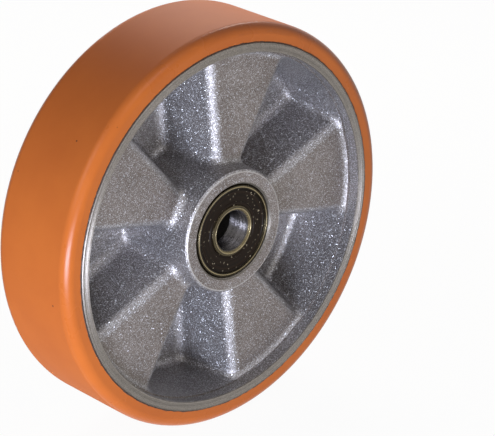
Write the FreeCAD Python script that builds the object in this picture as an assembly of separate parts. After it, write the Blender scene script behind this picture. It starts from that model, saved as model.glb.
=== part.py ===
import FreeCAD, Part
import math
import os

# Industrial wheel: a polyurethane tyre bonded on a cast aluminium centre with a corrugated web,
# running on two sealed deep-groove ball bearings. Millimetres. The wheel turns about Y, its front
# faces -Y, +Z is up and the origin is the wheel's centre.

Vector = FreeCAD.Vector

# Tyre
tyre_diameter = 200.0
tyre_width = 50.0
tyre_thickness = 9.2
shoulder_radius = 5.0
tyre_edge_radius = 0.6

# Rim and hub of the wheel centre
rim_stand = 0.5
rim_wall = 4.4
rim_lip_depth = 6.0
rim_lip_step = 0.6
rim_edge_chamfer = 0.4
hub_wall = 6.7
hub_stand = 2.5
hub_edge_chamfer = 0.8
cast_draft_deg = 5.0

# Corrugated web: raised plateaus and deep pockets take turns, on one face and then on the other
plateau_count = 5
plateau_turn_deg = 76.7
plateau_drop = 7.5
web_plate = 6.0
web_wall = 5.0
wall_draft_deg = 14.0
plateau_edge_radius = 6.0
pocket_foot_radius = 6.0
web_root_radius = 4.0

# Bearings, 20 x 47 x 14 metric size
bearing_bore = 20.0
bearing_diameter = 47.0
bearing_width = 14.0
bearing_recess = 0.5
bearing_chamfer = 1.0
seat_mouth_chamfer = 0.7
seat_shoulder = 3.5
ball_count = 8
ball_diameter = 7.938
ball_clearance = 0.05
groove_ease = 0.131
inner_land_drop = 2.35
outer_land_rise = 2.55
inner_land_setback = 2.4
inner_face_wall = 2.4
inner_face_chamfer = 0.4
lip_ramp = 0.3

# Seals
seal_seat_depth = 1.8
seal_seat_step = 1.6
seal_fit_clearance = 0.05
seal_lip_clearance = 0.1
seal_recess = 0.35
seal_bead_width = 1.2
seal_bead_rise = 0.3
seal_sheet = 0.75
seal_ridge_width = 0.8
seal_ridge_gap = 1.2

# Ribbon cage
cage_sheet = 0.5
cage_width = 2.5
cage_ball_clearance = 0.1
rivet_diameter = 1.2
rivet_head_diameter = 2.0
rivet_head_height = 0.35
rivet_hole_clearance = 0.03

# Cutting tools run this far past the faces that they cut; lengths under tiny count as none
tool_overrun = 1.0
tiny = 0.001

# Worked-out sizes
rim_radius = tyre_diameter / 2 - tyre_thickness
rim_bore_radius = rim_radius - rim_wall
rim_face_y = -tyre_width / 2 - rim_stand
rim_lip_y = rim_face_y + rim_lip_depth
hub_face_y = rim_face_y - hub_stand
plateau_y = rim_face_y + plateau_drop
floor_y = -plateau_y - web_plate
bearing_y = hub_face_y + bearing_recess + bearing_width / 2
seat_end_y = hub_face_y + bearing_recess + bearing_width
bearing_radius = bearing_diameter / 2
bore_radius = bearing_bore / 2
hub_radius = bearing_radius + hub_wall
seat_bore_radius = bearing_radius - seat_shoulder
ball_radius = ball_diameter / 2
ball_pitch_radius = (bore_radius + bearing_radius) / 2
groove_radius = ball_radius + groove_ease
inner_land_radius = ball_pitch_radius - inner_land_drop
outer_land_radius = ball_pitch_radius + outer_land_rise
inner_face_radius = bore_radius + inner_face_wall
seal_seat_radius = outer_land_radius + seal_seat_step
cast_draft = math.tan(math.radians(cast_draft_deg))
wall_draft = math.tan(math.radians(wall_draft_deg))
wheel_axis = Vector(0, 1, 0)
origin = Vector(0, 0, 0)


def point(radius, y):
    """A point of a turned profile, drawn in the XY plane with the radius along X."""
    return Vector(radius, y, 0)


def outline(points):
    """Closed wire through points; a pair (through, end) in the list is an arc, not a straight side."""
    edges = []
    here = points[0]
    for step in points[1:] + [points[0]]:
        if isinstance(step, tuple):
            edges.append(Part.Arc(here, step[0], step[1]).toShape())
            here = step[1]
        elif step.distanceToPoint(here) > tiny:
            edges.append(Part.LineSegment(here, step).toShape())
            here = step
    return Part.Wire(edges)


def turned(points):
    """Solid of revolution about the wheel's axis."""
    return Part.Face(outline(points)).revolve(origin, wheel_axis, 360)


def ring(inner, outer, y_start, y_end):
    """Plain turned ring."""
    return turned([point(inner, y_start), point(outer, y_start), point(outer, y_end), point(inner, y_end)])


def about_axis(shape, angle_deg):
    """Copy turned about the wheel's axis, from +X towards +Z for a positive angle."""
    copy = shape.copy()
    copy.rotate(origin, wheel_axis, -angle_deg)
    return copy


def rounded_corner(before, corner, after, radius):
    """Arc of the given radius in a corner: its start point, and a (through, end) pair."""
    to_before = (before - corner).normalize()
    to_after = (after - corner).normalize()
    half_angle = to_before.getAngle(to_after) / 2
    setback = radius / math.tan(half_angle)
    bisector = (to_before + to_after).normalize()
    centre = corner + bisector * (radius / math.sin(half_angle))
    start = corner + to_before * setback
    end = corner + to_after * setback
    return start, (centre - bisector * radius, end)


def corrugation_side(reach, depth):
    """Section across one slanting wall of the web, as a solid that runs along its radial mid-line.

    The mid-line is +X, the plateau lies on the -Z side and the pocket on the +Z side. All metal
    below the front surface belongs to the section, down to the given depth.
    """
    def section(across, y):
        return Vector(0, y, across)

    def wall_at(y):
        return web_wall / 2 + wall_draft * y

    crest = section(wall_at(plateau_y), plateau_y)
    foot = section(wall_at(floor_y), floor_y)
    plateau_end = section(-reach, plateau_y)
    floor_end = section(reach, floor_y)
    crest_start, crest_arc = rounded_corner(plateau_end, crest, foot, plateau_edge_radius)
    foot_start, foot_arc = rounded_corner(crest, foot, floor_end, pocket_foot_radius)
    wire = outline([plateau_end, crest_start, crest_arc, foot_start, foot_arc, floor_end,
                    section(reach, depth), section(-reach, depth)])
    return Part.Face(wire).extrude(Vector(reach, 0, 0))


def corrugated_front():
    """Front surface of the web as the top of one solid: plateaus, slanting walls and pocket floors."""
    reach = rim_radius + web_wall
    half_pitch = 180.0 / plateau_count / 2
    side = corrugation_side(reach, floor_y + web_plate)
    other_side = side.mirror(origin, Vector(0, 0, 1))
    plateau = about_axis(side, half_pitch).common(about_axis(other_side, -half_pitch))
    copies = [about_axis(plateau, plateau_turn_deg + index * 360.0 / plateau_count)
              for index in range(plateau_count)]
    return copies[0].fuse(copies[1:]).removeSplitter()


def cast_cavity():
    """Room that the casting leaves open on the front: pockets, with the room over the plateaus."""
    deep_y = floor_y + web_plate / 2
    rim_cast_radius = rim_bore_radius - rim_lip_step
    hub_deep_radius = hub_radius + (deep_y - hub_face_y) * cast_draft
    rim_deep_radius = rim_cast_radius - (deep_y - rim_lip_y) * cast_draft
    rim_top_radius = rim_cast_radius + (rim_lip_y - hub_face_y) * cast_draft
    annulus = turned([point(hub_radius, hub_face_y), point(hub_deep_radius, deep_y),
                      point(rim_deep_radius, deep_y), point(rim_top_radius, hub_face_y)])
    cavity = annulus.cut(corrugated_front())
    drafted_walls = [face for face in cavity.Faces if face.Surface.TypeId == "Part::GeomCone"]
    web_roots = [edge for wall in drafted_walls for edge in wall.Edges
                 if edge.BoundBox.YMax > plateau_y - tiny and not edge.isSeam(wall)]
    return cavity.makeFillet(web_root_radius, web_roots)


def machined_faces():
    """Front cuts made after casting: rim face with its lip, hub edge and bearing seat."""
    over = hub_face_y - tool_overrun
    lip = turned([point(rim_bore_radius - rim_wall, over), point(rim_radius + tool_overrun, over),
                  point(rim_radius + tool_overrun, rim_face_y),
                  point(rim_bore_radius + rim_edge_chamfer, rim_face_y),
                  point(rim_bore_radius, rim_face_y + rim_edge_chamfer),
                  point(rim_bore_radius, rim_lip_y), point(rim_bore_radius - rim_wall, rim_lip_y)])
    edge = turned([point(hub_radius - hub_edge_chamfer, hub_face_y),
                   point(hub_radius + tool_overrun, hub_face_y + hub_edge_chamfer + tool_overrun),
                   point(hub_radius + tool_overrun, hub_face_y)])
    seat = turned([point(seat_bore_radius - tool_overrun, hub_face_y),
                   point(bearing_radius + seat_mouth_chamfer, hub_face_y),
                   point(bearing_radius, hub_face_y + seat_mouth_chamfer),
                   point(bearing_radius, seat_end_y), point(seat_bore_radius - tool_overrun, seat_end_y)])
    return [lip, edge, seat]


def wheel_centre():
    """Aluminium casting: rim, corrugated web and hub in one piece, with its machined faces."""
    blank = ring(seat_bore_radius, rim_radius, hub_face_y, -hub_face_y)
    front_cuts = [cast_cavity()] + machined_faces()
    back_turn = 180.0 / plateau_count
    back_cuts = [about_axis(cut.mirror(origin, wheel_axis), back_turn) for cut in front_cuts]
    return blank.cut(front_cuts + back_cuts)


def tyre():
    """Polyurethane tread, bonded to the rim, with rounded shoulders."""
    outer = tyre_diameter / 2
    half = tyre_width / 2
    corners = [(point(rim_radius, -half), tyre_edge_radius), (point(outer, -half), shoulder_radius),
               (point(outer, half), shoulder_radius), (point(rim_radius, half), tyre_edge_radius)]
    points = []
    for index, (corner, radius) in enumerate(corners):
        before = corners[index - 1][0]
        after = corners[(index + 1) % len(corners)][0]
        points += rounded_corner(before, corner, after, radius)
    return turned(points)


def groove(land_radius, centre_radius, bottom_radius):
    """Half the width of a ball groove where it meets its land, and the groove's deepest point."""
    half_width = math.sqrt(groove_radius ** 2 - (land_radius - centre_radius) ** 2)
    return half_width, point(bottom_radius, 0)


def outer_ring():
    """Bearing outer ring with its ball groove and a stepped seat for each seal."""
    half = bearing_width / 2
    bottom = ball_pitch_radius + ball_radius + ball_clearance
    groove_half, deepest = groove(outer_land_radius, bottom - groove_radius, bottom)
    seat_y = half - seal_seat_depth
    return turned([point(outer_land_radius, -groove_half), (deepest, point(outer_land_radius, groove_half)),
                   point(outer_land_radius, seat_y), point(seal_seat_radius, seat_y),
                   point(seal_seat_radius, half), point(bearing_radius - bearing_chamfer, half),
                   point(bearing_radius, half - bearing_chamfer),
                   point(bearing_radius, bearing_chamfer - half),
                   point(bearing_radius - bearing_chamfer, -half), point(seal_seat_radius, -half),
                   point(seal_seat_radius, -seat_y), point(outer_land_radius, -seat_y)])


def inner_ring():
    """Bearing inner ring: the axle's bore, the ball groove and a recess under each seal lip."""
    half = bearing_width / 2
    bottom = ball_pitch_radius - ball_radius - ball_clearance
    groove_half, deepest = groove(inner_land_radius, bottom + groove_radius, bottom)
    land_y = half - inner_land_setback
    side = [point(inner_land_radius, land_y), point(inner_face_radius, land_y + lip_ramp),
            point(inner_face_radius, half - inner_face_chamfer),
            point(inner_face_radius - inner_face_chamfer, half),
            point(bore_radius + bearing_chamfer, half), point(bore_radius, half - bearing_chamfer)]
    other_side = [point(corner.x, -corner.y) for corner in reversed(side)]
    return turned([point(inner_land_radius, -groove_half), (deepest, point(inner_land_radius, groove_half))]
                  + side + other_side)


def seal():
    """Moulded rubber seal on the +Y side of a bearing: bead in its seat, sheet, ridge and running lip."""
    outer = seal_seat_radius - seal_fit_clearance
    lip = inner_face_radius + seal_lip_clearance
    top_y = bearing_width / 2 - seal_recess
    sheet_y = top_y - seal_bead_rise
    under_y = sheet_y - seal_sheet
    seat_y = bearing_width / 2 - seal_seat_depth
    bead_inner = outer - seal_bead_width
    ridge_inner = lip + seal_ridge_gap
    ridge_outer = ridge_inner + seal_ridge_width
    return turned([point(outer, seat_y), point(outer, sheet_y), point(outer - seal_bead_rise, top_y),
                   point(bead_inner, top_y), point(bead_inner - seal_bead_rise, sheet_y),
                   point(ridge_outer + seal_bead_rise, sheet_y), point(ridge_outer, top_y),
                   point(ridge_inner, top_y), point(ridge_inner - seal_bead_rise, sheet_y),
                   point(lip, sheet_y - seal_bead_rise), point(lip, under_y),
                   point(bead_inner, under_y), point(bead_inner, seat_y)])


def on_pitch(index):
    """Centre of a ball, or of the rivet half a step past it where the index ends in a half."""
    angle = math.radians(index * 360.0 / ball_count)
    return Vector(ball_pitch_radius * math.cos(angle), 0, ball_pitch_radius * math.sin(angle))


def ball(index):
    """Bearing ball, in its place on the pitch circle."""
    return Part.makeSphere(ball_radius, on_pitch(index))


def rivet_pin(radius, start_y, end_y, index):
    """Round pin along the wheel's axis, in a rivet's place."""
    foot = on_pitch(index + 0.5) + Vector(0, start_y, 0)
    return Part.makeCylinder(radius, end_y - start_y, foot, wheel_axis)


def cage_half():
    """Pressed half of the ribbon cage on the +Y side: flat strip, domed over each ball, with rivet holes."""
    inner = ball_pitch_radius - cage_width / 2
    outer = ball_pitch_radius + cage_width / 2
    pocket = ball_radius + cage_ball_clearance
    dome = pocket + cage_sheet
    band = ring(inner, outer, 0, dome + tool_overrun)
    strip = ring(inner, outer, 0, cage_sheet)
    domes = [Part.makeSphere(dome, on_pitch(index)).common(band) for index in range(ball_count)]
    pockets = [Part.makeSphere(pocket, on_pitch(index)) for index in range(ball_count)]
    hole_radius = rivet_diameter / 2 + rivet_hole_clearance
    holes = [rivet_pin(hole_radius, -dome, dome, index) for index in range(ball_count)]
    return strip.fuse(domes).cut(pockets + holes)


def cage_rivets():
    """Rivets that hold the two cage halves together, headed on both sides."""
    rivets = []
    head_y = cage_sheet + rivet_head_height
    for index in range(ball_count):
        shank = rivet_pin(rivet_diameter / 2, -head_y, head_y, index)
        heads = [rivet_pin(rivet_head_diameter / 2, cage_sheet, head_y, index),
                 rivet_pin(rivet_head_diameter / 2, -head_y, -cage_sheet, index)]
        rivets.append(shank.fuse(heads).removeSplitter())
    return Part.makeCompound(rivets)


def bearing():
    """Pieces of one bearing about its own centre, with its outer side towards -Y."""
    inward_seal = seal()
    inward_half = cage_half()
    pieces = {"outer_ring": outer_ring(), "inner_ring": inner_ring(),
              "outer_seal": inward_seal.mirror(origin, wheel_axis), "inner_seal": inward_seal,
              "cage_outer_half": inward_half.mirror(origin, wheel_axis), "cage_inner_half": inward_half,
              "cage_rivets": cage_rivets()}
    for index in range(ball_count):
        pieces["ball_%d" % (index + 1)] = ball(index)
    return pieces


def wheel():
    """All the wheel's pieces by name, in their places."""
    pieces = {"wheel_centre": wheel_centre(), "tyre": tyre()}
    for name, shape in bearing().items():
        front = shape.copy()
        front.translate(Vector(0, bearing_y, 0))
        pieces["front_" + name] = front
        pieces["rear_" + name] = front.mirror(origin, wheel_axis)
    return pieces


os.makedirs("parts", exist_ok=True)
for node, shape in wheel().items():
    shape.exportStep("parts/" + node + ".step")
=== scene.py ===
import math

import bpy
from bpy.props import FloatProperty, FloatVectorProperty, IntProperty, PointerProperty
from bpy.types import Operator, Panel, PropertyGroup
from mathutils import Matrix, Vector


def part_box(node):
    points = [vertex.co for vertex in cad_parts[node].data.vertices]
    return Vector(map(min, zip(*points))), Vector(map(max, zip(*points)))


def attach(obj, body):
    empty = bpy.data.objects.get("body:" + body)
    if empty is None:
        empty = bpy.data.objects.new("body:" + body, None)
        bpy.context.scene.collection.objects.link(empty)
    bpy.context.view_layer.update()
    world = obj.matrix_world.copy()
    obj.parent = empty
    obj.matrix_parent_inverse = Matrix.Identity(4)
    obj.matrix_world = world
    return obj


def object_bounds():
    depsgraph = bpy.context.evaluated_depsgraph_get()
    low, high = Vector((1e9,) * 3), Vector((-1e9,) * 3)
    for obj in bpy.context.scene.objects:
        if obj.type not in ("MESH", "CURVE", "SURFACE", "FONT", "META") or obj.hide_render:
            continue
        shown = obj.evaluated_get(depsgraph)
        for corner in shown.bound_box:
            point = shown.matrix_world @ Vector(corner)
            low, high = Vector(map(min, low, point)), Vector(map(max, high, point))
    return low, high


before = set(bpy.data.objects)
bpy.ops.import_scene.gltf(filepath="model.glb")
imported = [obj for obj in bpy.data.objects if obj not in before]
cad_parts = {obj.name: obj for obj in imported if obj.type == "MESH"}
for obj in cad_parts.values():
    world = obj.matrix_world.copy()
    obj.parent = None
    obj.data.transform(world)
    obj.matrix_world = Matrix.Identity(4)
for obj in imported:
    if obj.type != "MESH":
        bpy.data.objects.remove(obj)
cad_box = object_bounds()

bl_info = {
    "name": "Polyurethane-tyred wheel",
    "version": (1, 0, 0),
    "blender": (4, 5, 0),
    "location": "3D View > Sidebar > Wheel",
    "description": "Finishes, bond lines and studio for a wheel with a cast aluminium centre",
    "category": "Object",
}

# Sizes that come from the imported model, in metres. The wheel turns about Y.
TYRE_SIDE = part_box("tyre")[1].y
TYRE_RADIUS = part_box("tyre")[1].x
RIM_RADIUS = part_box("wheel_centre")[1].x
HUB_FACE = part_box("wheel_centre")[1].y
SEAT_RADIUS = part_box("front_outer_ring")[1].x

# Sizes that the boxes don't give, in metres
RIM_SETBACK = 0.003                # rim faces lie less than this below the hub's faces
PLATEAU_SETBACK = 0.0105           # and plateaus less than this
RIM_INSIDE = RIM_RADIUS * 0.8      # the casting is rim from here outwards
HUB_RADIUS = SEAT_RADIUS + 0.0067
EDGE_WIDTH = 0.0012                # worn edge of the hub's faces, partly a painted highlight
EDGE_HEIGHT = 0.00024
SEAT_MOUTH = 0.00075               # just past the chamfer at the mouth of a bearing seat
BORE_RADIUS = 0.010                # bore of the inner rings
SLACK = 0.0002                     # how far a facetted round face strays from its true radius

# Shares and finishes that have no socket name beside them where they are used
EDGE_SHINE = 0.55                  # share of bright metal on the hub's edge, worn and partly a painted highlight
PORE_SHARE = 0.5                   # share of open pores, against tool lines, in a turned face
TURNED_ROUGHNESS = 0.42
TREAD_ROUGHNESS = 0.64
FLECK_TILT = 4                     # how many times as far a fleck leans as a dull facet
SPECK_LIMIT = 0.72                 # cells with a higher random number hold a speck of dirt
LINES_PER_BAND = 40                # grinding lines in one band of them that shows
MIDDLE = (0.5, 0.5, 0.5)           # taken off a random colour, so that it leans any way
CRUMB_LEAST = (0.25, 0.2, 0.25)    # shares of the crumb size along X, Y and Z
CRUMB_MOST = (1.0, 0.45, 1.0)

BEARINGS = ("front_", "rear_")
BALL_COUNT = 8

# Studio: metres, and the share of its own white that the floor shows to the eye
FLOOR_HALF = 4.0
FLOOR_COLOUR = (0.9, 0.9, 0.9, 1.0)
FLOOR_GLOW = 0.96
WHITE = (1.0, 1.0, 1.0, 1.0)
AMBIENT_TINT = "#ffe4cc"
CAMERA_AIM = Vector((0.03513, 0.0, -0.01298))
SENSOR_WIDTH_MM = 36.0

# Each lamp: its name, the setup's value for its power, its degrees round the wheel and above the
# horizon, its distance, width and height in metres, and its colour
LAMPS = (
    ("key_light", "key_power", -49, -11, 0.8, 0.44, 0.13, "#dce6ff"),
    ("fill_light", "fill_power", -80, 30, 0.6, 0.3, 0.3, "#eef2ff"),
    ("top_light", "top_power", -5, 50, 0.7, 0.3, 0.3, "#eef2ff"),
    ("back_light", "back_power", 136, 38, 0.7, 0.4, 0.4, "#fff8f0"),
)


def linear(code):
    """Linear colour of an sRGB hex value such as '#c8702d'."""
    shares = [int(code[start:start + 2], 16) / 255 for start in (1, 3, 5)]
    return [s / 12.92 if s <= 0.04045 else ((s + 0.055) / 1.055) ** 2.4 for s in shares]


def per_metre(size_mm):
    """Texture scale at which a pattern's features are about this many millimetres wide."""
    return 1000.0 / size_mm


def opaque(colour):
    """Colour with the full alpha that a node's colour socket asks for."""
    return (*colour, 1.0)


def add(tree, kind, settings=None, inputs=None):
    """Adds one node: settings are its own options, inputs are values or sockets to link from.

    Sockets that share a name are given by number. On a Mix node, input 0 is the factor, 2 and 3 are
    numbers, 4 and 5 vectors, 6 and 7 colours, and outputs 0, 1 and 2 are number, vector and colour.
    """
    node = tree.nodes.new(kind)
    for name, value in (settings or {}).items():
        setattr(node, name, value)
    for key, value in (inputs or {}).items():
        if isinstance(value, bpy.types.NodeSocket):
            tree.links.new(value, node.inputs[key])
        else:
            node.inputs[key].default_value = value
    return node


def start_material(name):
    """New material with its node tree and its main shader."""
    material = bpy.data.materials.new(name)
    material.use_nodes = True
    tree = material.node_tree
    return material, tree, tree.nodes["Principled BSDF"]


def wheel_place(tree):
    """Object coordinates with the distance from the wheel's axis and from its middle plane."""
    place = add(tree, "ShaderNodeTexCoord").outputs["Object"]
    flat = add(tree, "ShaderNodeVectorMath", {"operation": "MULTIPLY"}, {0: place, 1: (1, 0, 1)})
    radius = add(tree, "ShaderNodeVectorMath", {"operation": "LENGTH"}, {0: flat.outputs[0]})
    split = add(tree, "ShaderNodeSeparateXYZ", None, {0: place})
    depth = add(tree, "ShaderNodeMath", {"operation": "ABSOLUTE"}, {0: split.outputs["Y"]})
    return place, radius.outputs["Value"], depth.outputs[0]


def leaning(tree, lean, amount):
    """Surface normal pushed over by a vector, for facets too small to model."""
    upright = add(tree, "ShaderNodeNewGeometry").outputs["Normal"]
    push = add(tree, "ShaderNodeVectorMath", {"operation": "SCALE"}, {0: lean, "Scale": amount})
    both = add(tree, "ShaderNodeVectorMath", {"operation": "ADD"}, {0: upright, 1: push.outputs[0]})
    unit = add(tree, "ShaderNodeVectorMath", {"operation": "NORMALIZE"}, {0: both.outputs[0]})
    return unit.outputs[0]


def tool_lines(tree, place, along, pitch, slope):
    """Normal of a face cut by a lathe or a grinding wheel: its lines run round the axis.

    Each line leans to one side or the other at random, so some of them catch a light that stands
    off to the side.
    """
    step = add(tree, "ShaderNodeMath", {"operation": "SNAP"}, {0: along, 1: pitch})
    draw = add(tree, "ShaderNodeTexWhiteNoise", {"noise_dimensions": "1D"}, {"W": step.outputs[0]})
    turn = add(tree, "ShaderNodeMath", {"operation": "MULTIPLY"},
               {0: draw.outputs["Value"], 1: math.tau})
    side = add(tree, "ShaderNodeMath", {"operation": "SINE"}, {0: turn.outputs[0]})
    round_axis = add(tree, "ShaderNodeVectorMath", {"operation": "CROSS_PRODUCT"},
                     {0: (0, 1, 0), 1: place})
    line = add(tree, "ShaderNodeVectorMath", {"operation": "NORMALIZE"}, {0: round_axis.outputs[0]})
    in_world = add(tree, "ShaderNodeVectorTransform",
                   {"vector_type": "VECTOR", "convert_from": "OBJECT", "convert_to": "WORLD"},
                   {0: line.outputs[0]})
    upright = add(tree, "ShaderNodeNewGeometry").outputs["Normal"]
    across = add(tree, "ShaderNodeVectorMath", {"operation": "CROSS_PRODUCT"},
                 {0: upright, 1: in_world.outputs[0]})
    flank = add(tree, "ShaderNodeVectorMath", {"operation": "SCALE"},
                {0: across.outputs[0], "Scale": side.outputs[0]})
    return leaning(tree, flank.outputs[0], slope)


def outer_faces(tree, depth):
    """1 where hub, rim and plateaus look straight out, falling to 0 on slopes and in pockets."""
    normal = add(tree, "ShaderNodeNewGeometry").outputs["Normal"]
    facing = add(tree, "ShaderNodeSeparateXYZ", None, {0: normal})
    flat = add(tree, "ShaderNodeMath", {"operation": "ABSOLUTE"}, {0: facing.outputs["Y"]})
    straight = add(tree, "ShaderNodeMapRange", None,
                   {"Value": flat.outputs[0], "From Min": 0.9, "From Max": 0.995})
    proud = add(tree, "ShaderNodeMath", {"operation": "GREATER_THAN"},
                {0: depth, 1: HUB_FACE - PLATEAU_SETBACK})
    outer = add(tree, "ShaderNodeMath", {"operation": "MULTIPLY"},
                {0: straight.outputs[0], 1: proud.outputs[0]})
    return outer.outputs[0]


def turned_faces(tree, radius, depth):
    """1 on the rim faces and in the mouths of the bearing seats, 0 elsewhere."""
    near_rim = add(tree, "ShaderNodeMath", {"operation": "GREATER_THAN"},
                   {0: radius, 1: RIM_INSIDE})
    in_seat = add(tree, "ShaderNodeMath", {"operation": "LESS_THAN"},
                  {0: radius, 1: SEAT_RADIUS + SEAT_MOUTH})
    either = add(tree, "ShaderNodeMath", {"operation": "MAXIMUM"},
                 {0: near_rim.outputs[0], 1: in_seat.outputs[0]})
    outside = add(tree, "ShaderNodeMath", {"operation": "GREATER_THAN"},
                  {0: depth, 1: HUB_FACE - RIM_SETBACK})
    turned = add(tree, "ShaderNodeMath", {"operation": "MULTIPLY"},
                 {0: either.outputs[0], 1: outside.outputs[0]})
    return turned.outputs[0]


def skin_colour(tree, finish, place, outer):
    """Cloudy colour of the casting's skin before its grain."""
    cloud = add(tree, "ShaderNodeTexNoise", None,
                {"Vector": place, "Scale": per_metre(22.0), "Detail": 3.0})
    tone = add(tree, "ShaderNodeMapRange", None,
               {"Value": cloud.outputs["Fac"], "From Min": 0.35, "From Max": 0.65})
    inside = add(tree, "ShaderNodeMix", {"data_type": "RGBA"},
                 {0: tone.outputs[0], 6: opaque(finish.skin_dark), 7: opaque(finish.skin_pale)})
    # Outer faces are painted darker and browner than the pockets: painted shade for the darker
    # surroundings that they reflect
    outer_shaded = add(tree, "ShaderNodeMix", {"data_type": "RGBA"},
                  {0: tone.outputs[0], 6: opaque(finish.outer_shade_dark),
                   7: opaque(finish.outer_shade_pale)})
    skin = add(tree, "ShaderNodeMix", {"data_type": "RGBA"},
               {0: outer, 6: inside.outputs[2], 7: outer_shaded.outputs[2]})
    return skin.outputs[2]


def edge_and_bore_colour(tree, finish, radius, depth, blasted):
    """The grained colour with the hub's paler edge, which is worn and partly a painted highlight,
    and with the hub's bore near-black between the bearings.
    """
    wide = add(tree, "ShaderNodeMath", {"operation": "GREATER_THAN"},
               {0: radius, 1: HUB_RADIUS - EDGE_WIDTH})
    high = add(tree, "ShaderNodeMath", {"operation": "GREATER_THAN"},
               {0: depth, 1: HUB_FACE - EDGE_HEIGHT})
    edge = add(tree, "ShaderNodeMath", {"operation": "MULTIPLY"},
               {0: wide.outputs[0], 1: high.outputs[0]})
    worn = add(tree, "ShaderNodeMath", {"operation": "MULTIPLY"},
               {0: edge.outputs[0], 1: EDGE_SHINE})
    # The edge of the hub stands proud of all else, so handling wears it bright, and its pale colour
    # is partly a painted highlight along the edge
    rubbed_highlight = add(tree, "ShaderNodeMix", {"data_type": "RGBA"},
                 {0: worn.outputs[0], 6: blasted, 7: opaque(finish.rubbed_highlight)})
    # The hub's bore between the bearings is painted near-black
    between = add(tree, "ShaderNodeMath", {"operation": "LESS_THAN"},
                  {0: radius, 1: SEAT_RADIUS - SEAT_MOUTH})
    hub_bore_darkened = add(tree, "ShaderNodeMix", {"data_type": "RGBA"},
                  {0: between.outputs[0], 6: rubbed_highlight.outputs[2], 7: opaque(finish.hub_bore_dark)})
    return hub_bore_darkened.outputs[2]


def shot_blasted_aluminium(finish):
    """Sand-cast aluminium alloy, shot-blasted, then turned at the rim faces and the seats' mouths.

    Blasting leaves small facets that sparkle, so the skin reads as a soft grey with white flecks:
    the flecks are painted glints and the dark facets painted shade, on top of the facets' leaning
    normals.
    The turned faces are brighter, and their tool lines stretch a highlight out across them.
    """
    material, tree, shader = start_material("shot_blasted_cast_aluminium")
    place, radius, depth = wheel_place(tree)
    outer = outer_faces(tree, depth)
    turned = turned_faces(tree, radius, depth)

    # Real facets are about 0.1 mm wide, too fine to show, so they are drawn as coarse as facet_size
    facets = add(tree, "ShaderNodeTexVoronoi", None,
                 {"Vector": place, "Scale": per_metre(finish.facet_size * 1000)})
    chance = add(tree, "ShaderNodeSeparateColor", None, {0: facets.outputs["Color"]}).outputs[0]
    # Dull facets take the dark facet colour, a painted shade of facets turned away from the light
    dull = add(tree, "ShaderNodeMapRange", None,
               {"Value": chance, "From Min": 0.0, "From Max": 0.5, "To Min": 0.5, "To Max": 0.0})
    dulled = add(tree, "ShaderNodeMix", {"data_type": "RGBA"},
                 {0: dull.outputs[0], 6: skin_colour(tree, finish, place, outer),
                  7: opaque(finish.facet_shade)})
    # About a quarter of the facets are flecks of painted glint, painted fainter on the outer faces
    fleck_glint = add(tree, "ShaderNodeMapRange", None,
                {"Value": chance, "From Min": 0.76, "From Max": 1.0, "To Max": 0.9})
    kept = add(tree, "ShaderNodeMapRange", None, {"Value": outer, "To Min": 1.0, "To Max": 0.6})
    sparkle = add(tree, "ShaderNodeMath", {"operation": "MULTIPLY"},
                  {0: fleck_glint.outputs[0], 1: kept.outputs[0]})
    blasted = add(tree, "ShaderNodeMix", {"data_type": "RGBA"},
                  {0: sparkle.outputs[0], 6: dulled.outputs[2], 7: opaque(finish.fleck_glint)})
    rough = add(tree, "ShaderNodeMapRange", None, {"Value": chance, "To Min": 0.46, "To Max": 0.38})
    any_way = add(tree, "ShaderNodeTexWhiteNoise", {"noise_dimensions": "3D"},
                  {"Vector": facets.outputs["Position"]})
    lean = add(tree, "ShaderNodeVectorMath", {"operation": "SUBTRACT"},
               {0: any_way.outputs["Color"], 1: MIDDLE})
    tilt = add(tree, "ShaderNodeMapRange", None,
               {"Value": fleck_glint.outputs[0], "To Min": finish.facet_tilt,
                "To Max": finish.facet_tilt * FLECK_TILT})
    sparkling = leaning(tree, lean.outputs[0], tilt.outputs[0])

    # Single tool lines are too fine to show, so their tone changes in bands about 0.7 mm wide
    along = add(tree, "ShaderNodeMath", {"operation": "ADD"}, {0: radius, 1: depth})
    lines = add(tree, "ShaderNodeTexNoise", {"noise_dimensions": "1D"},
                {"W": along.outputs[0], "Scale": per_metre(0.7), "Detail": 2.0})
    # Turning leaves the casting's pores open, so some of the grain shows between the tool lines
    pores = add(tree, "ShaderNodeMix", None, {0: PORE_SHARE, 2: lines.outputs["Fac"], 3: chance})
    shade = add(tree, "ShaderNodeMix", {"data_type": "RGBA"},
                {0: pores.outputs[0], 6: opaque(finish.turned_dark), 7: opaque(finish.turned_pale)})
    grooved = tool_lines(tree, place, along.outputs[0], finish.groove_width, finish.groove_slope)

    colour = add(tree, "ShaderNodeMix", {"data_type": "RGBA"},
                 {0: turned, 6: edge_and_bore_colour(tree, finish, radius, depth, blasted.outputs[2]),
                  7: shade.outputs[2]})
    # The blasted skin is dulled by its oxide, so it is less of a mirror than the bare turned metal
    bare = add(tree, "ShaderNodeMapRange", None, {"Value": turned, "To Min": 0.7, "To Max": 1.0})
    gloss = add(tree, "ShaderNodeMix", None, {0: turned, 2: rough.outputs[0], 3: TURNED_ROUGHNESS})
    grain = add(tree, "ShaderNodeMix", {"data_type": "VECTOR"},
                {0: turned, 4: sparkling, 5: grooved})
    tree.links.new(colour.outputs[2], shader.inputs["Base Color"])
    tree.links.new(bare.outputs[0], shader.inputs["Metallic"])
    tree.links.new(gloss.outputs[0], shader.inputs["Roughness"])
    tree.links.new(grain.outputs[1], shader.inputs["Normal"])
    return material


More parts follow.
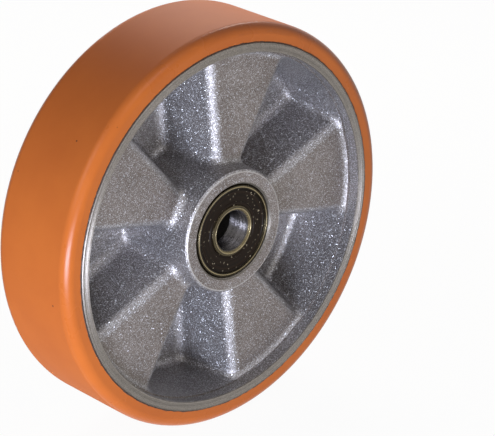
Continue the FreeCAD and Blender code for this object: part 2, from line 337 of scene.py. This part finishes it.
def cast_polyurethane(finish):
    """Cast polyurethane elastomer: satin, slightly cloudy orange with a few dark specks of dirt.

    The tread is turned to size, which leaves it duller, with very shallow lines round it.
    """
    material, tree, shader = start_material("cast_polyurethane")
    place, radius, depth = wheel_place(tree)

    cloud = add(tree, "ShaderNodeTexNoise", None,
                {"Vector": place, "Scale": per_metre(38.0), "Detail": 4.0, "Roughness": 0.55})
    tone = add(tree, "ShaderNodeMapRange", None,
               {"Value": cloud.outputs["Fac"], "From Min": 0.3, "From Max": 0.7})
    body = add(tree, "ShaderNodeMix", {"data_type": "RGBA"},
               {0: tone.outputs[0], 6: opaque(finish.deep), 7: opaque(finish.colour)})
    dirt = add(tree, "ShaderNodeTexVoronoi", None, {"Vector": place, "Scale": per_metre(11.0)})
    chance = add(tree, "ShaderNodeSeparateColor", None, {0: dirt.outputs["Color"]}).outputs[0]
    near = add(tree, "ShaderNodeMapRange", None,
               {"Value": dirt.outputs["Distance"], "From Min": 0.03, "From Max": 0.055,
                "To Min": 1.0, "To Max": 0.0})
    some = add(tree, "ShaderNodeMath", {"operation": "GREATER_THAN"}, {0: chance, 1: SPECK_LIMIT})
    speck = add(tree, "ShaderNodeMath", {"operation": "MULTIPLY"},
                {0: near.outputs[0], 1: some.outputs[0]})
    colour = add(tree, "ShaderNodeMix", {"data_type": "RGBA"},
                 {0: speck.outputs[0], 6: body.outputs[2], 7: opaque(finish.speck)})

    fine = add(tree, "ShaderNodeTexNoise", None,
               {"Vector": place, "Scale": per_metre(1.6), "Detail": 2.0})
    lines = add(tree, "ShaderNodeTexNoise", {"noise_dimensions": "1D"},
                {"W": depth, "Scale": per_metre(0.9), "Detail": 1.0})
    on_tread = add(tree, "ShaderNodeMath", {"operation": "GREATER_THAN"},
                   {0: radius, 1: TYRE_RADIUS - SLACK})
    height = add(tree, "ShaderNodeMix", None,
                 {0: on_tread.outputs[0], 2: fine.outputs["Fac"], 3: lines.outputs["Fac"]})
    bump = add(tree, "ShaderNodeBump", None,
               {"Strength": 0.12, "Distance": 0.0001, "Height": height.outputs[0]})
    satin = add(tree, "ShaderNodeMapRange", None,
                {"Value": cloud.outputs["Fac"], "From Min": 0.3, "From Max": 0.7,
                 "To Min": 0.24, "To Max": 0.32})
    rough = add(tree, "ShaderNodeMix", None,
                {0: on_tread.outputs[0], 2: satin.outputs[0], 3: TREAD_ROUGHNESS})
    shader.inputs["IOR"].default_value = 1.48
    shader.inputs["Specular IOR Level"].default_value = 0.25
    tree.links.new(colour.outputs[2], shader.inputs["Base Color"])
    tree.links.new(rough.outputs[0], shader.inputs["Roughness"])
    tree.links.new(bump.outputs[0], shader.inputs["Normal"])
    return material


def bearing_steel(name, dark, pale, roughness, band_mm, slope, bore=None):
    """Steel of a bearing: bright, with fine lines round the axis and a few smears of oil.

    Rings are hardened and ground, balls polished and cages pressed from sheet. Single lines are too
    fine to show, so their tone changes in bands as wide as band_mm.
    """
    material, tree, shader = start_material(name)
    place, radius, depth = wheel_place(tree)
    along = add(tree, "ShaderNodeMath", {"operation": "ADD"}, {0: radius, 1: depth})
    lines = add(tree, "ShaderNodeTexNoise", {"noise_dimensions": "1D"},
                {"W": along.outputs[0], "Scale": per_metre(band_mm), "Detail": 2.0})
    tone = add(tree, "ShaderNodeMapRange", None,
               {"Value": lines.outputs["Fac"], "From Min": 0.38, "From Max": 0.62})
    colour = add(tree, "ShaderNodeMix", {"data_type": "RGBA"},
                 {0: tone.outputs[0], 6: opaque(dark), 7: opaque(pale)})
    if bore is not None:
        in_bore = add(tree, "ShaderNodeMath", {"operation": "LESS_THAN"},
                      {0: radius, 1: BORE_RADIUS + SLACK})
        colour = add(tree, "ShaderNodeMix", {"data_type": "RGBA"},
                     {0: in_bore.outputs[0], 6: colour.outputs[2], 7: opaque(bore)})
    smear = add(tree, "ShaderNodeTexNoise", None,
                {"Vector": place, "Scale": per_metre(4.0), "Detail": 2.0})
    rough = add(tree, "ShaderNodeMapRange", None,
                {"Value": smear.outputs["Fac"], "To Min": roughness * 0.7,
                 "To Max": roughness * 1.3})
    ground = tool_lines(tree, place, along.outputs[0], band_mm / 1000 / LINES_PER_BAND, slope)
    shader.inputs["Metallic"].default_value = 1.0
    tree.links.new(colour.outputs[2], shader.inputs["Base Color"])
    tree.links.new(rough.outputs[0], shader.inputs["Roughness"])
    tree.links.new(ground, shader.inputs["Normal"])
    return material


def seal_rubber(finish):
    """Moulded nitrile rubber: black, satin, a little dusty, with faint rings from its mould."""
    material, tree, shader = start_material("moulded_nitrile_rubber")
    place, radius, _ = wheel_place(tree)
    rings = add(tree, "ShaderNodeTexNoise", {"noise_dimensions": "1D"},
                {"W": radius, "Scale": per_metre(1.4), "Detail": 2.0})
    dust_and_glint = add(tree, "ShaderNodeTexVoronoi", None, {"Vector": place, "Scale": per_metre(0.6)})
    chance = add(tree, "ShaderNodeSeparateColor", None, {0: dust_and_glint.outputs["Color"]}).outputs[0]
    # Pale motes: dust on the seal, and painted glints
    mote_and_glint = add(tree, "ShaderNodeMapRange", None,
               {"Value": chance, "From Min": 0.975, "From Max": 1.0, "To Max": 0.7})
    moulded = add(tree, "ShaderNodeMix", {"data_type": "RGBA"},
                  {0: rings.outputs["Fac"], 6: opaque(finish.rubber),
                   7: opaque(finish.rubber_worn)})
    colour = add(tree, "ShaderNodeMix", {"data_type": "RGBA"},
                 {0: mote_and_glint.outputs[0], 6: moulded.outputs[2], 7: opaque(finish.dust_and_glint)})
    rough = add(tree, "ShaderNodeMapRange", None,
                {"Value": rings.outputs["Fac"], "To Min": 0.32, "To Max": 0.5})
    bump = add(tree, "ShaderNodeBump", None,
               {"Strength": 0.25, "Distance": 0.00008, "Height": rings.outputs["Fac"]})
    shader.inputs["Specular IOR Level"].default_value = 0.07
    tree.links.new(colour.outputs[2], shader.inputs["Base Color"])
    tree.links.new(rough.outputs[0], shader.inputs["Roughness"])
    tree.links.new(bump.outputs[0], shader.inputs["Normal"])
    return material


def bond_primer(finish):
    """Dried bonding primer that has crept out between tyre and rim: dark brown, dull and lumpy."""
    material, tree, shader = start_material("dried_bond_primer")
    place = add(tree, "ShaderNodeTexCoord").outputs["Object"]
    lumps = add(tree, "ShaderNodeTexNoise", None,
                {"Vector": place, "Scale": per_metre(2.5), "Detail": 3.0})
    colour = add(tree, "ShaderNodeMix", {"data_type": "RGBA"},
                 {0: lumps.outputs["Fac"], 6: opaque(finish.primer_dark),
                  7: opaque(finish.primer_pale)})
    bump = add(tree, "ShaderNodeBump", None,
               {"Strength": 0.4, "Distance": 0.0002, "Height": lumps.outputs["Fac"]})
    shader.inputs["Roughness"].default_value = 0.65
    tree.links.new(colour.outputs[2], shader.inputs["Base Color"])
    tree.links.new(bump.outputs[0], shader.inputs["Normal"])
    return material


def paint(node, material):
    """Gives a CAD node one material in place of those that it came with."""
    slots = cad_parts[node].data.materials
    slots.clear()
    slots.append(material)


def colour_property(name, description, code):
    """A colour that the user can change, with its default as an sRGB hex value."""
    return FloatVectorProperty(name=name, description=description, subtype="COLOR", size=3,
                               min=0.0, max=1.0, default=linear(code))


class CentreFinish(PropertyGroup):
    """Colours and grain of the aluminium casting."""
    skin_dark: colour_property("Skin, dark", "Darker cloud of the blasted skin", "#86817f")
    skin_pale: colour_property("Skin, pale", "Paler cloud of the blasted skin", "#958f8c")
    # Painted shade: the outer faces get darker, browner colours than the pockets
    outer_shade_dark: colour_property("Handled, dark", "Darker cloud of the outer faces", "#746a63")
    outer_shade_pale: colour_property("Handled, pale", "Paler cloud of the outer faces", "#857b74")
    # Painted shade of dull facets and painted glint of flecks in the blasted grain
    facet_shade: colour_property("Dull facet", "Facet that is turned away from the light", "#33281f")
    fleck_glint: colour_property("Fleck", "Facet that sparkles", "#f6f7fa")
    # Pale edge of the hub: worn, and partly a painted highlight
    rubbed_highlight: colour_property("Rubbed edge", "Edge of the hub, bright from handling", "#c4bfb9")
    # Near-black colour painted on the hub's bore between the bearings
    hub_bore_dark: colour_property("Grease", "Old grease in the hub between the bearings", "#1d1916")
    turned_dark: colour_property("Turned, dark", "Darker tool lines of the turned faces", "#554e46")
    turned_pale: colour_property("Turned, pale", "Paler tool lines of the turned faces", "#a8a199")
    facet_size: FloatProperty(name="Facet size", description="Width of one blasted facet",
                              default=0.00026, unit="LENGTH", precision=5)
    facet_tilt: FloatProperty(name="Facet tilt", description="How far the blasted facets lean",
                              default=0.35)
    groove_width: FloatProperty(name="Groove width",
                                description="Pitch of the tool lines on the turned faces",
                                default=0.00006, unit="LENGTH", precision=5)
    groove_slope: FloatProperty(name="Groove slope", description="Steepest flank of a tool line",
                                default=1.2)


class TyreFinish(PropertyGroup):
    """Colours of the tyre and the size of the primer that shows at its edge."""
    colour: colour_property("Polyurethane", "Main colour of the tyre", "#bf6526")
    deep: colour_property("Deep", "Darker cloud in the tyre", "#b55d22")
    speck: colour_property("Speck", "Speck of dirt on the tyre", "#4a2413")
    primer_dark: colour_property("Primer, dark", "Darker parts of the bond line", "#241812")
    primer_pale: colour_property("Primer, pale", "Paler parts of the bond line", "#5a3a24")
    bead_radius: FloatProperty(name="Bead radius",
                               description="Half the thickness of the bond line",
                               default=0.0003, unit="LENGTH", precision=5)
    bead_wander: FloatProperty(name="Bead wander",
                               description="How far the bond line strays from its circle",
                               default=0.00035, unit="LENGTH", precision=5)
    crumb_size: FloatProperty(name="Crumb size", description="Size of the largest crumb of primer",
                              default=0.0007, unit="LENGTH", precision=5)
    crumb_count: IntProperty(name="Crumbs", description="Crumbs of primer on one side of the wheel",
                             default=34, min=0)


class BearingFinish(PropertyGroup):
    """Colours of the bearings' steel and rubber."""
    # Painted reflection: the rings' dark and gold-olive tones stand for the warm, dark surroundings
    # they reflect
    ring_reflection_dark: colour_property("Ring, dark", "Darker grinding lines of the rings", "#211c14")
    ring_reflection_pale: colour_property("Ring, pale", "Paler lines of the rings and cages", "#9a8c6c")
    bore: colour_property("Bore", "Clean steel of the bore", "#6a6666")
    ball_steel: colour_property("Ball", "Polished balls", "#b4b4b2")
    ball_pale: colour_property("Ball, pale", "Paler streaks left by rolling", "#c4c4c1")
    cage_steel: colour_property("Cage", "Pressed sheet of the cages", "#9a978f")
    rubber: colour_property("Rubber", "Seals", "#0c0805")
    rubber_worn: colour_property("Rubber, worn", "Rubbed rings on the seals", "#261b11")
    # Pale motes on the seals: dust and painted glints
    dust_and_glint: colour_property("Dust", "Dust on the seals", "#cdbb97")


class StudioSetup(PropertyGroup):
    """Camera and light of the picture."""
    azimuth: FloatProperty(name="Azimuth",
                           description="Camera's turn round the wheel from straight ahead",
                           default=math.radians(-43.36), subtype="ANGLE")
    elevation: FloatProperty(name="Elevation", description="Camera's height above the horizon",
                             default=math.radians(24.12), subtype="ANGLE")
    distance: FloatProperty(name="Distance",
                            description="Camera's distance from the point it looks at",
                            default=1.18501, unit="LENGTH")
    lens: FloatProperty(name="Lens", description="Focal length on a 36 mm sensor",
                        default=176.06, unit="CAMERA")
    key_power: FloatProperty(name="Key light",
                             description="Low soft light at the left of the front",
                             default=10.6, unit="POWER")
    fill_power: FloatProperty(name="Fill light", description="Soft light high at the left",
                              default=0.65, unit="POWER")
    top_power: FloatProperty(name="Top light", description="Weak soft light high in front",
                             default=0.45, unit="POWER")
    back_power: FloatProperty(name="Back light", description="Soft light at the right of the back",
                              default=3.4, unit="POWER")
    ambient: FloatProperty(name="Ambient", description="Even light from all round",
                           default=0.045, min=0.0)


class WHEEL_OT_finish_centre(Operator):
    """Gives the casting its blasted skin and its turned faces"""
    bl_idname = "wheel.finish_centre"
    bl_label = "Finish the centre"

    def execute(self, context):
        paint("wheel_centre", shot_blasted_aluminium(context.scene.wheel_centre))
        return {"FINISHED"}


class WHEEL_OT_finish_tyre(Operator):
    """Gives the tyre its polyurethane"""
    bl_idname = "wheel.finish_tyre"
    bl_label = "Finish the tyre"

    def execute(self, context):
        paint("tyre", cast_polyurethane(context.scene.wheel_tyre))
        return {"FINISHED"}


class WHEEL_OT_finish_bearings(Operator):
    """Gives the rings, balls, cages and seals of both bearings their steel and rubber"""
    bl_idname = "wheel.finish_bearings"
    bl_label = "Finish the bearings"

    def execute(self, context):
        finish = context.scene.wheel_bearing
        # The rings' and cages' gold-olive colours are painted reflection of warm surroundings
        rings = bearing_steel("ground_bearing_steel", finish.ring_reflection_dark, finish.ring_reflection_pale,
                              roughness=0.25, band_mm=1.0, slope=0.9, bore=finish.bore)
        balls = bearing_steel("polished_ball_steel", finish.ball_steel, finish.ball_pale,
                              roughness=0.08, band_mm=0.5, slope=0.0)
        cages = bearing_steel("pressed_sheet_steel", finish.cage_steel, finish.ring_reflection_pale,
                              roughness=0.35, band_mm=0.8, slope=0.1)
        rubber = seal_rubber(finish)
        for side in BEARINGS:
            for name in ("outer_ring", "inner_ring"):
                paint(side + name, rings)
            for name in ("outer_seal", "inner_seal"):
                paint(side + name, rubber)
            for name in ("cage_outer_half", "cage_inner_half", "cage_rivets"):
                paint(side + name, cages)
            for number in range(1, BALL_COUNT + 1):
                paint("%sball_%d" % (side, number), balls)
        return {"FINISHED"}


def bond_line_tree():
    """Node tree of one bond line: an uneven bead round the rim's edge, with crumbs on it."""
    tree = bpy.data.node_groups.new("bond_line", "GeometryNodeTree")
    for name in ("Ring Radius", "Side", "Bead Radius", "Wander", "Crumb Size"):
        tree.interface.new_socket(name, in_out="INPUT", socket_type="NodeSocketFloat")
    for name in ("Crumbs", "Seed"):
        tree.interface.new_socket(name, in_out="INPUT", socket_type="NodeSocketInt")
    tree.interface.new_socket("Material", in_out="INPUT", socket_type="NodeSocketMaterial")
    tree.interface.new_socket("Geometry", in_out="OUTPUT", socket_type="NodeSocketGeometry")
    given = add(tree, "NodeGroupInput").outputs

    circle = add(tree, "GeometryNodeCurvePrimitiveCircle", None,
                 {"Resolution": 720, "Radius": given["Ring Radius"]})
    shift = add(tree, "ShaderNodeCombineXYZ", None, {"Y": given["Side"]})
    placed = add(tree, "GeometryNodeTransform", None,
                 {"Geometry": circle.outputs[0], "Translation": shift.outputs[0],
                  "Rotation": (math.radians(90), 0, 0)})
    stray = add(tree, "ShaderNodeTexNoise", None, {"Scale": per_metre(5.0), "Detail": 3.0})
    any_way = add(tree, "ShaderNodeVectorMath", {"operation": "SUBTRACT"},
                  {0: stray.outputs["Color"], 1: MIDDLE})
    offset = add(tree, "ShaderNodeVectorMath", {"operation": "SCALE"},
                 {0: any_way.outputs[0], "Scale": given["Wander"]})
    path = add(tree, "GeometryNodeSetPosition", None,
               {"Geometry": placed.outputs[0], "Offset": offset.outputs[0]})
    swell = add(tree, "ShaderNodeTexNoise", None, {"Scale": per_metre(3.0), "Detail": 2.0})
    girth = add(tree, "ShaderNodeMapRange", None,
                {"Value": swell.outputs["Fac"], "From Min": 0.3, "From Max": 0.7,
                 "To Min": 0.35, "To Max": 1.5})
    profile = add(tree, "GeometryNodeCurvePrimitiveCircle", None,
                  {"Resolution": 8, "Radius": given["Bead Radius"]})
    bead = add(tree, "GeometryNodeCurveToMesh", None,
               {"Curve": path.outputs[0], "Profile Curve": profile.outputs[0],
                "Scale": girth.outputs[0]})

    chance = add(tree, "FunctionNodeRandomValue", None, {"Seed": given["Seed"]})
    spot = add(tree, "GeometryNodeSampleCurve", None,
               {"Curves": path.outputs[0], "Factor": chance.outputs[1]})
    spots = add(tree, "GeometryNodePoints", None,
                {"Count": given["Crumbs"], "Position": spot.outputs["Position"]})
    crumb = add(tree, "GeometryNodeMeshIcoSphere", None,
                {"Radius": given["Crumb Size"], "Subdivisions": 2})
    shape = add(tree, "FunctionNodeRandomValue", {"data_type": "FLOAT_VECTOR"},
                {0: CRUMB_LEAST, 1: CRUMB_MOST, "Seed": given["Seed"]})
    crumbs = add(tree, "GeometryNodeInstanceOnPoints", None,
                 {"Points": spots.outputs[0], "Instance": crumb.outputs[0],
                  "Scale": shape.outputs[0]})
    whole = add(tree, "GeometryNodeJoinGeometry", None, {0: bead.outputs[0]})
    tree.links.new(crumbs.outputs[0], whole.inputs[0])
    real = add(tree, "GeometryNodeRealizeInstances", None, {0: whole.outputs[0]})
    smooth = add(tree, "GeometryNodeSetShadeSmooth", None, {0: real.outputs[0]})
    finished = add(tree, "GeometryNodeSetMaterial", None,
                   {"Geometry": smooth.outputs[0], "Material": given["Material"]})
    add(tree, "NodeGroupOutput", None, {0: finished.outputs[0]})
    return tree


def piece_from_tree(name, tree, values):
    """Plain mesh object made by a Geometry Nodes tree with these input values."""
    piece = bpy.data.objects.new(name, bpy.data.meshes.new(name))
    bpy.context.scene.collection.objects.link(piece)
    modifier = piece.modifiers.new(name, "NODES")
    modifier.node_group = tree
    for item in tree.interface.items_tree:
        if item.in_out == "INPUT":
            modifier[item.identifier] = values[item.name]
    shown = piece.evaluated_get(bpy.context.evaluated_depsgraph_get())
    mesh = bpy.data.meshes.new_from_object(shown)
    piece.modifiers.remove(modifier)
    piece.data = mesh
    mesh.name = name
    if not mesh.polygons:
        raise RuntimeError("the node tree made no faces for " + name)
    return piece


class WHEEL_OT_bond_lines(Operator):
    """Adds the uneven line of primer that shows between tyre and rim on both sides"""
    bl_idname = "wheel.bond_lines"
    bl_label = "Add the bond lines"

    def execute(self, context):
        finish = context.scene.wheel_tyre
        tree = bond_line_tree()
        primer = bond_primer(finish)
        for name, side, seed in (("front_bond_line", -1, 3), ("rear_bond_line", 1, 8)):
            piece = piece_from_tree(name, tree, {
                "Ring Radius": RIM_RADIUS + finish.bead_radius, "Side": side * TYRE_SIDE,
                "Bead Radius": finish.bead_radius, "Wander": finish.bead_wander,
                "Crumb Size": finish.crumb_size, "Crumbs": finish.crumb_count, "Seed": seed,
                "Material": primer})
            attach(piece, "wheel")
        return {"FINISHED"}


def shown_to_eye(tree):
    """1 for rays that show the background as white: from the camera, in gloss and through glass."""
    path = add(tree, "ShaderNodeLightPath").outputs
    eye = add(tree, "ShaderNodeMath", {"operation": "MAXIMUM"},
              {0: path["Is Camera Ray"], 1: path["Is Glossy Ray"]})
    return add(tree, "ShaderNodeMath", {"operation": "MAXIMUM"},
               {0: eye.outputs[0], 1: path["Is Transmission Ray"]}).outputs[0]


def white_floor():
    """Large pale floor under the wheel that reads as white and keeps the wheel's soft shadow."""
    low = cad_box[0].z
    corners = [(x * FLOOR_HALF, y * FLOOR_HALF, low)
               for x, y in ((-1, -1), (1, -1), (1, 1), (-1, 1))]
    mesh = bpy.data.meshes.new("floor")
    mesh.from_pydata(corners, [], [(0, 1, 2, 3)])
    floor = bpy.data.objects.new("floor", mesh)
    bpy.context.scene.collection.objects.link(floor)
    material = bpy.data.materials.new("white_sweep")
    material.use_nodes = True
    tree = material.node_tree
    tree.nodes.clear()
    matt = add(tree, "ShaderNodeBsdfDiffuse", None, {"Color": FLOOR_COLOUR})
    glow = add(tree, "ShaderNodeEmission", None, {"Color": WHITE, "Strength": 1.0})
    share = add(tree, "ShaderNodeMath", {"operation": "MULTIPLY"},
                {0: shown_to_eye(tree), 1: FLOOR_GLOW})
    mix = add(tree, "ShaderNodeMixShader", None,
              {0: share.outputs[0], 1: matt.outputs[0], 2: glow.outputs[0]})
    add(tree, "ShaderNodeOutputMaterial", None, {"Surface": mix.outputs[0]})
    mesh.materials.append(material)
    # The key light stands for light that a pale table throws back, so the floor lets it through
    floor.visible_shadow = False


def white_world(ambient):
    """White surroundings for the eye, with a lower even light on the wheel."""
    world = bpy.data.worlds.new("white_studio")
    world.use_nodes = True
    tree = world.node_tree
    tree.nodes.clear()
    eye = shown_to_eye(tree)
    strength = add(tree, "ShaderNodeMapRange", None,
                   {"Value": eye, "To Min": ambient, "To Max": 1.0})
    tint = add(tree, "ShaderNodeMix", {"data_type": "RGBA"},
               {0: eye, 6: opaque(linear(AMBIENT_TINT)), 7: WHITE})
    light = add(tree, "ShaderNodeBackground", None,
                {"Color": tint.outputs[2], "Strength": strength.outputs[0]})
    add(tree, "ShaderNodeOutputWorld", None, {"Surface": light.outputs[0]})
    bpy.context.scene.world = world


def direction(azimuth, elevation):
    """Unit vector from the wheel: azimuth 0 is straight ahead of its front, positive is right."""
    return Vector((math.sin(azimuth) * math.cos(elevation),
                   -math.cos(azimuth) * math.cos(elevation), math.sin(elevation)))


def soft_light(name, power, azimuth_deg, elevation_deg, distance, width, height, code):
    """Rectangular lamp that faces the wheel's centre."""
    lamp = bpy.data.lights.new(name, "AREA")
    lamp.shape = "RECTANGLE"
    lamp.size, lamp.size_y = width, height
    lamp.energy = power
    lamp.color = linear(code)
    item = bpy.data.objects.new(name, lamp)
    back = direction(math.radians(azimuth_deg), math.radians(elevation_deg))
    item.location = back * distance
    item.rotation_euler = back.to_track_quat("Z", "Y").to_euler()
    bpy.context.scene.collection.objects.link(item)


class WHEEL_OT_studio(Operator):
    """Adds the pale floor, the soft lights and the camera"""
    bl_idname = "wheel.studio"
    bl_label = "Set up the studio"

    def execute(self, context):
        setup = context.scene.wheel_studio
        white_floor()
        white_world(setup.ambient)
        for name, power, *place_and_look in LAMPS:
            soft_light(name, getattr(setup, power), *place_and_look)

        camera = bpy.data.cameras.new("camera")
        camera.sensor_fit = "HORIZONTAL"
        camera.sensor_width = SENSOR_WIDTH_MM
        camera.lens = setup.lens
        item = bpy.data.objects.new("camera", camera)
        back = direction(setup.azimuth, setup.elevation)
        item.location = CAMERA_AIM + back * setup.distance
        item.rotation_euler = back.to_track_quat("Z", "Y").to_euler()
        context.scene.collection.objects.link(item)
        context.scene.camera = item
        context.scene.view_settings.view_transform = "Standard"
        return {"FINISHED"}


class VIEW3D_PT_wheel(Panel):
    """Sizes, colours and steps of the wheel"""
    bl_label = "Wheel"
    bl_space_type = "VIEW_3D"
    bl_region_type = "UI"
    bl_category = "Wheel"

    def draw(self, context):
        for group, steps in STEPS:
            box = self.layout.box()
            values = getattr(context.scene, group)
            for name in values.__annotations__:
                box.prop(values, name)
            for step in steps:
                box.operator(step.bl_idname)


GROUPS = {"wheel_centre": CentreFinish, "wheel_tyre": TyreFinish, "wheel_bearing": BearingFinish,
          "wheel_studio": StudioSetup}
STEPS = (("wheel_centre", (WHEEL_OT_finish_centre,)),
         ("wheel_tyre", (WHEEL_OT_finish_tyre, WHEEL_OT_bond_lines)),
         ("wheel_bearing", (WHEEL_OT_finish_bearings,)),
         ("wheel_studio", (WHEEL_OT_studio,)))
OPERATORS = [step for group, steps in STEPS for step in steps]


def register():
    """Makes the groups, operators and panel known to Blender."""
    for item in [*GROUPS.values(), *OPERATORS, VIEW3D_PT_wheel]:
        bpy.utils.register_class(item)
    for name, group in GROUPS.items():
        setattr(bpy.types.Scene, name, PointerProperty(type=group))


def unregister():
    """Takes them away again."""
    for name in GROUPS:
        delattr(bpy.types.Scene, name)
    for item in [VIEW3D_PT_wheel, *reversed(OPERATORS), *GROUPS.values()]:
        bpy.utils.unregister_class(item)


def main():
    register()
    bpy.ops.wheel.finish_centre()
    bpy.ops.wheel.finish_tyre()
    bpy.ops.wheel.bond_lines()
    bpy.ops.wheel.finish_bearings()
    bpy.ops.wheel.studio()


if __name__ == "__main__":
    main()
